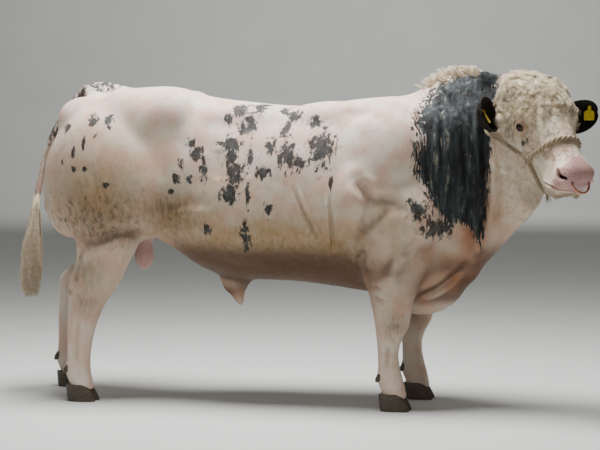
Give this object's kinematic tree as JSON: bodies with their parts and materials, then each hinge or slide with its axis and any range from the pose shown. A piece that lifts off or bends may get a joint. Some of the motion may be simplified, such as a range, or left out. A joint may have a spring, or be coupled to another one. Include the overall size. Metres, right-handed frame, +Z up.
{
  "type": "bull",
  "caption": "Belgian Blue bull, life size, standing with its head turned to its right, in a rope halter and nose ring, with roan spots on a cream coat.",
  "frame": {"origin": "middle of the bounding box on the floor under the bull", "axes": "+X towards the head, +Y to the bull's left, +Z up"},
  "size_m": [2.8445, 0.8662, 1.5845],
  "materials": {
    "bare_skin": "bare skin",
    "copper": "polished copper",
    "ear_hide": "short dark coat",
    "eyeball": "wet gloss",
    "hair": "long cream hair",
    "hide": "short matt coat",
    "horn": "dull hoof horn",
    "rope": "rough twisted fibre",
    "tag": "yellow, blank"
  },
  "bodies": {
    "root": {"claw_front_left_inner": "horn", "claw_front_left_outer": "horn", "claw_front_right_inner": "horn", "claw_front_right_outer": "horn", "claw_hind_left_inner": "horn", "claw_hind_left_outer": "horn", "claw_hind_right_inner": "horn", "claw_hind_right_outer": "horn", "dewclaw_front_left_left": "horn", "dewclaw_front_left_right": "horn", "dewclaw_front_right_left": "horn", "dewclaw_front_right_right": "horn", "dewclaw_hind_left_left": "horn", "dewclaw_hind_left_right": "horn", "dewclaw_hind_right_left": "horn", "dewclaw_hind_right_right": "horn", "ear_left": "ear_hide", "ear_right": "ear_hide", "eye_left": "eyeball", "eye_right": "eyeball", "halter": "rope", "head": "hide", "hindquarters": "hide", "leg_front_left": "hide", "leg_front_right": "hide", "leg_hind_left": "hide", "leg_hind_right": "hide", "neck": "hide", "nose_ring": "copper", "scrotum": "bare_skin", "tag_left": "tag", "tag_right": "tag", "tail": "hide", "tail_switch": "hair", "torso": "hide"}
  },
  "joints": []
}
